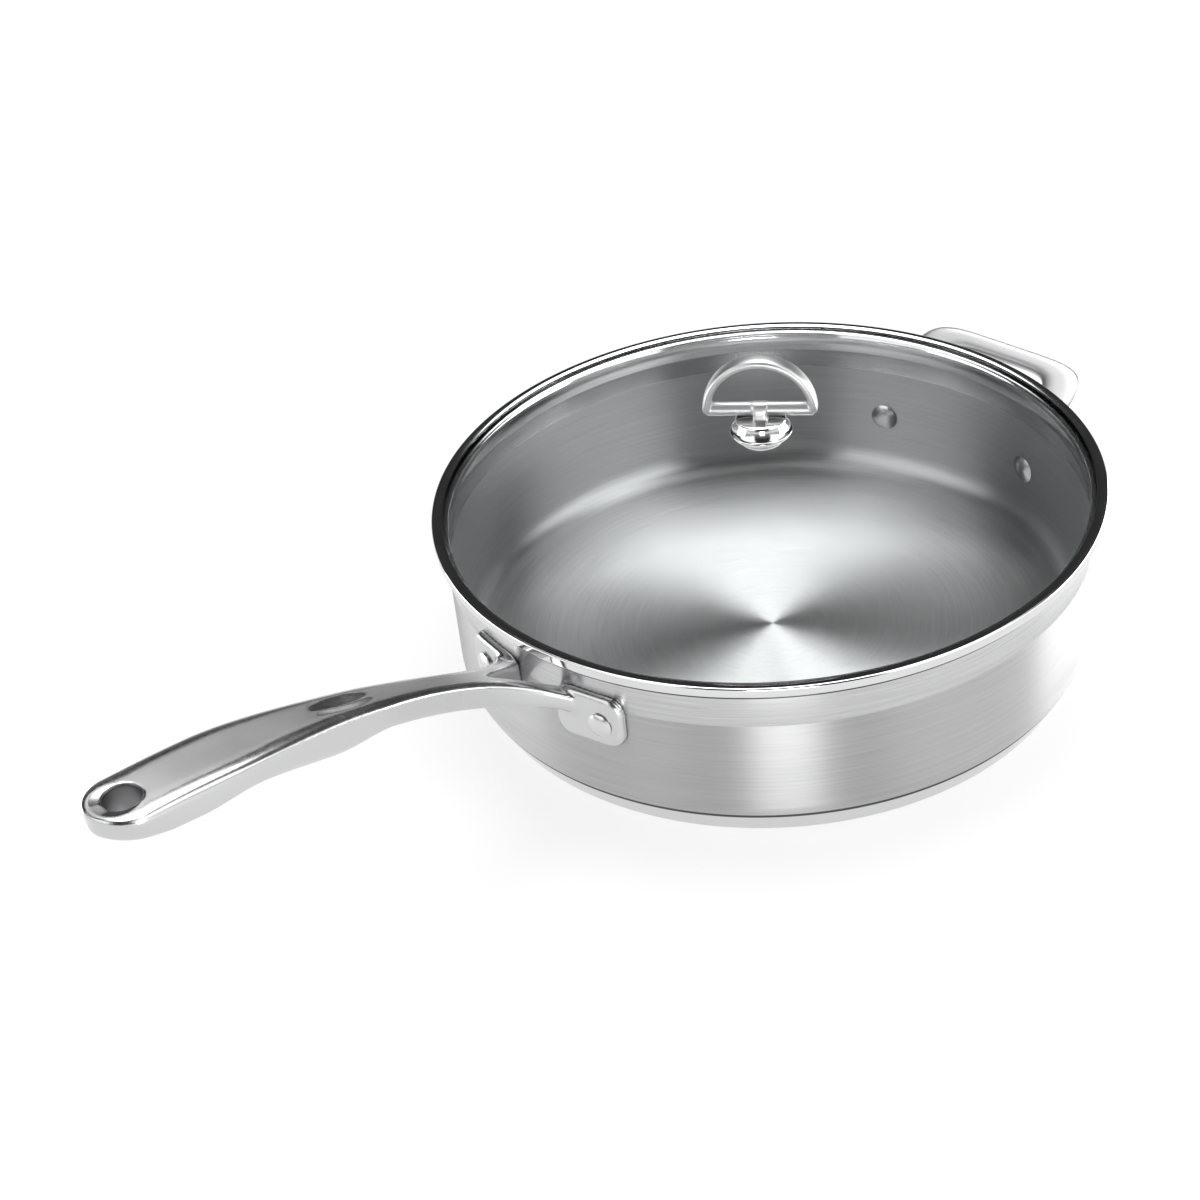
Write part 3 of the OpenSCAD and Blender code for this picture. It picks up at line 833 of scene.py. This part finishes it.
def round_tool(radius, low, high, x):
    turn = [2 * math.pi * i / 64 for i in range(64)]
    rings = []
    for z in (low, high):
        rings.append([(x + radius * math.cos(a), radius * math.sin(a), z) for a in turn])
    return loft("hole", rings)


def ball_tool(radius, x, z):
    """The lowest part of a large ball, as a cutting tool."""
    low = arc(0, z, radius, -90, -60, 40)
    tool = lathe("dish", low + [(0, low[-1][1])], 96)
    tool.data.transform(Matrix.Translation((x * MM, 0, 0)))
    return tool


def fork_share(x):
    """0 where the handle begins to fork, 1 at the face of its feet, above 1 inside them."""
    return max(0, (FORK_X - x) / (FORK_X - FOOT_FACE_R))


def half_width(x):
    grip = (GRIP_W - NECK_W) / 2 * ease((x - FORK_X) / (GRIP_X - FORK_X))
    return NECK_W / 2 + grip + FLARE_W * fork_share(x) ** 3


def keel(x):
    return ease((x - KEEL_X) / KEEL_RISE + 1) * (1 - ease((x - KEEL_X) / KEEL_FALL))


def depth(x):
    swell = SWELL_D * ease((x - KINK_X) / SWELL_L + 1.4)
    nose = 9.5 * ease((x - KINK_X + 3) / 44) ** 0.8
    return GRIP_T + KEEL_D * keel(x) + swell - nose - 2.5 * min(fork_share(x), 1) ** 2


def under_share(x):
    rise = 0.1 * ease(fork_share(x) * 3) - 0.1 * ease((x - HOLE_X) / SWELL_L + 1)
    return 0.86 - 0.34 * keel(x) + rise


def dent(x, y):
    q = ((x - DENT_X) / (DENT_L / 2)) ** 2 + (y / (DENT_W / 2)) ** 2
    return DENT_D * (1 - q) ** 1.5 if q < 1 else 0


def handle_ring(x, top, width, deep, sides=72):
    """A ring of the long handle, narrower below than above, with the thumb dent in its top."""
    ring = []
    for i in range(sides):
        a = 2 * math.pi * i / sides
        u, v = power(math.cos(a), 0.4), power(math.sin(a), 0.4)
        y = width * u * (1 - (1 - under_share(x)) * (1 - v) / 2)
        lower = dent(x, y) if v > 0.9 else 0
        ring.append((-x, y, top - deep / 2 + deep / 2 * v - lower))
    return ring


def grip_rings():
    """Rings of the long handle, from inside the wall to its nose."""
    rings = []
    root_slope = (BEND_Z - ROOT_Z) / (BEND_X - FOOT_FACE_R)
    for x in (PAN_R - 3, PAN_R - 1, PAN_R, PAN_R + 1, PAN_R + 2, PAN_R + 3):
        top = ROOT_Z - root_slope * (FOOT_FACE_R - x)
        rings.append(handle_ring(x, top, half_width(x), depth(FOOT_FACE_R)))
    for i in range(GRIP_STEPS + 1):
        t = i / GRIP_STEPS
        x = (1 - t) ** 2 * FOOT_FACE_R + 2 * t * (1 - t) * BEND_X + t * t * HOLE_X
        top = (1 - t) ** 2 * ROOT_Z + 2 * t * (1 - t) * BEND_Z + t * t * HOLE_TOP_Z
        rings.append(handle_ring(x, top, half_width(x), depth(x)))
    end_slope = (HOLE_TOP_Z - BEND_Z) / (HOLE_X - BEND_X)
    for a in (math.radians(k) for k in range(6, 85, 6)):
        x = HOLE_X + (NOSE_R - NOSE_TRIM) * math.sin(a)
        drop = 1 - math.cos(a)
        top = HOLE_TOP_Z + end_slope * (x - HOLE_X) - NOSE_DROP * drop
        width = half_width(HOLE_X) * math.cos(a)
        rings.append(handle_ring(x, top, width, depth(x) - NOSE_THIN * drop))
    return rings


def fork_gap():
    """The wedge between the handle's two arms, as a cutting tool."""
    wedge = [(-CROTCH_X, 0), (-PAN_R + 1, GAP_HALF + 1), (-PAN_R + 1, -GAP_HALF - 1)]
    levels = (LONG_FOOT_Z - 30, LONG_FOOT_Z + 40)
    return loft("gap", [[(x, y, z) for x, y in wedge] for z in levels])


def make_long_handle():
    piece = loft("long_grip", grip_rings())
    spread = math.degrees(math.asin((GAP_HALF + LONG_FOOT_W / 2) / FOOT_FACE_R))
    feet = []
    for side in (-1, 1):
        feet.append(foot_plate(180 + side * spread, LONG_FOOT_Z, LONG_FOOT_W, LONG_FOOT_H))
    combine(piece, feet, "UNION")
    dish = HOLE_TOP_Z - DISH_D
    dish_ball = (DISH_R ** 2 + DISH_D ** 2) / (2 * DISH_D)
    combine(piece, [
        fork_gap(), wall_tool(), round_tool(HOLE_R - 0.5, dish - 40, dish + 40, -HOLE_X),
        ball_tool(dish_ball, -HOLE_X - 0.9, dish + dish_ball)], "DIFFERENCE")
    melt(piece, 0.5, 14)
    soften(piece, *PLATE_ZONE)
    soften(piece, *FORK_ZONE)
    finish_piece(piece, "pan", "cast_steel", HANDLE_STEEL, "long_handle")


def loop_point(angle, reach, half_width):
    """A point of a rounded rectangle, as (outwards, sideways)."""
    out = reach * power(math.cos(angle), LOOP_SQUARE)
    return Vector((out, half_width * power(math.sin(angle), LOOP_SQUARE)))


def strap_ring(angle, back=0.0, sides=40):
    """Ring of the helper's strap; back moves it inwards along the loop's plane."""
    middle = LOOP_REACH / math.cos(LOOP_SLOPE)
    outer = loop_point(angle, middle + STRAP_W / 2, LOOP_HALF_W + STRAP_OUT)
    inner = loop_point(angle, middle - STRAP_W / 2, LOOP_INNER_W)
    centre, half = (outer + inner) / 2, (outer - inner) / 2
    ring = []
    for k in range(sides):
        b = 2 * math.pi * (k + 0.5) / sides
        e = centre + half * power(math.cos(b), 0.6)
        h = STRAP_T / 2 * power(math.sin(b), 0.6)
        reach = e.x - back
        ring.append((
            PAN_R + reach * math.cos(LOOP_SLOPE) - h * math.sin(LOOP_SLOPE), e.y,
            LOOP_ROOT_Z + reach * math.sin(LOOP_SLOPE) + h * math.cos(LOOP_SLOPE)))
    return ring


def make_helper():
    first, last = -LOOP_TURN, LOOP_TURN
    inner = loop_point(first, LOOP_REACH, 0).x + LOOP_ROOT_IN
    rings = [strap_ring(first, inner)]
    for i in range(LOOP_STEPS + 1):
        rings.append(strap_ring(first + (last - first) * i / LOOP_STEPS))
    rings.append(strap_ring(last, inner))
    piece = loft("side_loop", rings)
    feet = []
    for side in (-1, 1):
        feet.append(foot_plate(side * HELP_RIVET_ANGLE, HELP_FOOT_Z, HELP_FOOT_W, HELP_FOOT_H))
    combine(piece, feet, "UNION")
    combine(piece, [wall_tool()], "DIFFERENCE")
    melt(piece, 0.55, 5)
    finish_piece(piece, "pan", "cast_steel", HELPER_STEEL, "helper_handle")


def dome_outline(radius, height, stub):
    """A rivet head: a dome on a short skirt, sunk into its seat by the stub."""
    skirt = height * HEAD_SKIRT
    rise = height - skirt
    ball = (radius ** 2 + rise ** 2) / (2 * rise)
    start = 90 - 2 * math.degrees(math.atan(rise / radius))
    foot = [(0, -stub), (radius - 0.6, -stub), (radius - 0.6, 0.1), (radius - 0.1, 0.35)]
    return foot + arc(0, height - ball, ball, start, 90, 14)


def make_rivet(name, middle, spread, z, node, side):
    """The outer and the inner head of one rivet; side is -1 or 1."""
    turn = Matrix.Rotation(math.radians(middle + side * spread), 4, "Z")
    lean = Matrix.Rotation(math.radians(90), 4, "Y")
    no_flip, flip = Matrix.Identity(4), Matrix.Rotation(math.pi, 4, "Y")
    heads = (
        ("out", RIVET_R, FOOT_FACE_R - 0.15, no_flip),
        ("in", INNER_RIVET_R, PAN_R - WALL_T + 0.1, flip),
    )
    for where, radius, reach, facing in heads:
        outline = dome_outline(radius, HEAD_H - 0.1, HEAD_SINK)
        head = lathe("%s_%s_%d" % (name, where, side + 2), outline, 64, 30)
        place = Matrix.Translation((reach * MM, 0, z * MM))
        head.data.transform(turn @ place @ facing @ lean)
        finish_piece(head, "pan", "rivet_steel", RIVET_STEEL, node)


def make_rivets():
    groups = (
        ("long_rivet", 180, LONG_RIVET_ANGLE, LONG_RIVET_Z, "long_handle_rivets"),
        ("side_rivet", 0, HELP_RIVET_ANGLE, HELP_RIVET_Z, "helper_handle_rivets"),
    )
    for group in groups:
        for side in (-1, 1):
            make_rivet(*group, side)


# Studio

def make_camera():
    right, down = Vector(CAMERA_RIGHT), Vector(CAMERA_DOWN)
    ahead = right.cross(down)
    data = bpy.data.cameras.new("photo_view")
    data.sensor_width = 36
    data.lens = FOCAL_PX / PHOTO_W * data.sensor_width
    camera = bpy.data.objects.new("photo_view", data)
    bpy.context.scene.collection.objects.link(camera)
    axes = Matrix((right, -down, -ahead)).transposed().to_4x4()
    camera.matrix_world = Matrix.Translation(CAMERA_AT) @ axes
    bpy.context.scene.camera = camera


def make_floor():
    """A pale floor that catches the shadow and shows white to the camera and in the metal."""
    corners = [(x * FLOOR_SIZE, y * FLOOR_SIZE, 0) for x, y in ((-1, -1), (1, -1), (1, 1), (-1, 1))]
    mesh = bpy.data.meshes.new("floor")
    mesh.from_pydata(corners, [], [(0, 1, 2, 3)])
    floor = bpy.data.objects.new("floor", mesh)
    bpy.context.scene.collection.objects.link(floor)
    nodes = Nodes("pale_floor")
    shader = nodes.add("ShaderNodeBsdfPrincipled")
    shader.inputs["Base Color"].default_value = (*FLOOR_COLOUR, 1)
    shader.inputs["Roughness"].default_value = 0.9
    shader.inputs["Specular IOR Level"].default_value = 0
    glow = nodes.add("ShaderNodeEmission")
    glow.inputs["Color"].default_value = (1, 1, 1, 1)
    glow.inputs["Strength"].default_value = 1
    path = nodes.add("ShaderNodeLightPath")
    seen = nodes.math("MAXIMUM", path.outputs["Is Camera Ray"], nodes.math(
        "MAXIMUM", path.outputs["Is Glossy Ray"], path.outputs["Is Transmission Ray"]))
    mix = nodes.add("ShaderNodeMixShader")
    nodes.link(nodes.math("MULTIPLY", seen, FLOOR_GLOW), mix.inputs[0])
    nodes.link(shader.outputs[0], mix.inputs[1])
    nodes.link(glow.outputs[0], mix.inputs[2])
    nodes.link(mix.outputs[0], nodes.output.inputs["Surface"])
    mesh.materials.append(nodes.material)


def make_world():
    """A studio room: soft panels overhead and at the sides, dark behind the camera."""
    world = bpy.data.worlds.new("studio")
    bpy.context.scene.world = world
    world.use_nodes = True
    nodes = Nodes.of_tree(world.node_tree, "ShaderNodeOutputWorld")
    where = nodes.add("ShaderNodeTexCoord").outputs["Generated"]
    ahead = nodes.dot(where, BACK_DIRECTION)
    side = nodes.dot(where, SIDE_DIRECTION)
    up = nodes.dot(where, (0, 0, 1))
    level = nodes.remap(up, 0, 0.3, *ROOM_LEVELS)
    above = nodes.math("MAXIMUM", up, 0.02)
    top = nodes.panel(
        nodes.math("DIVIDE", ahead, above), nodes.math("DIVIDE", side, above), *TOP_PANEL)
    level = nodes.math("ADD", level, top)
    for sign, *panel in SIDE_PANELS:
        out = nodes.math("MAXIMUM", nodes.math("MULTIPLY", side, sign), 0.02)
        level = nodes.math("ADD", level, nodes.panel(
            nodes.math("DIVIDE", ahead, out), nodes.math("DIVIDE", up, out), *panel))
    path = nodes.add("ShaderNodeLightPath")
    backdrop = nodes.add("ShaderNodeBackground")
    seen = nodes.add("ShaderNodeBackground")
    nodes.link(level, backdrop.inputs["Strength"])
    seen.inputs["Strength"].default_value = 1
    for node in (backdrop, seen):
        node.inputs["Color"].default_value = (1, 1, 1, 1)
    mix = nodes.add("ShaderNodeMixShader")
    nodes.link(path.outputs["Is Camera Ray"], mix.inputs[0])
    nodes.link(backdrop.outputs[0], mix.inputs[1])
    nodes.link(seen.outputs[0], mix.inputs[2])
    nodes.link(mix.outputs[0], nodes.output.inputs["Surface"])


def strip_box(name, side, back, width, height, radiance):
    """A soft lamp on the floor just outside the view, facing the pan."""
    data = bpy.data.lights.new(name, "AREA")
    data.shape = "RECTANGLE"
    data.size = width
    data.size_y = height
    data.energy = radiance * math.pi * width * height
    lamp = bpy.data.objects.new(name, data)
    bpy.context.scene.collection.objects.link(lamp)
    lamp.location = Vector(BACK_DIRECTION) * back + Vector(SIDE_DIRECTION) * side
    lamp.location.z = height / 2 + 0.005
    aim = Vector((0, 0, height / 2)) - lamp.location
    lamp.rotation_euler = aim.to_track_quat("-Z", "Y").to_euler()
    lamp.visible_camera = False


def make_lights():
    for strip in STRIPS:
        strip_box(*strip)


make_body()
make_base()
make_glass()
make_band()
make_knob()
make_loop()
make_long_handle()
make_helper()
make_rivets()
make_camera()
make_floor()
make_world()
make_lights()

bpy.context.scene.view_settings.view_transform = "Standard"
bpy.context.view_layer.update()
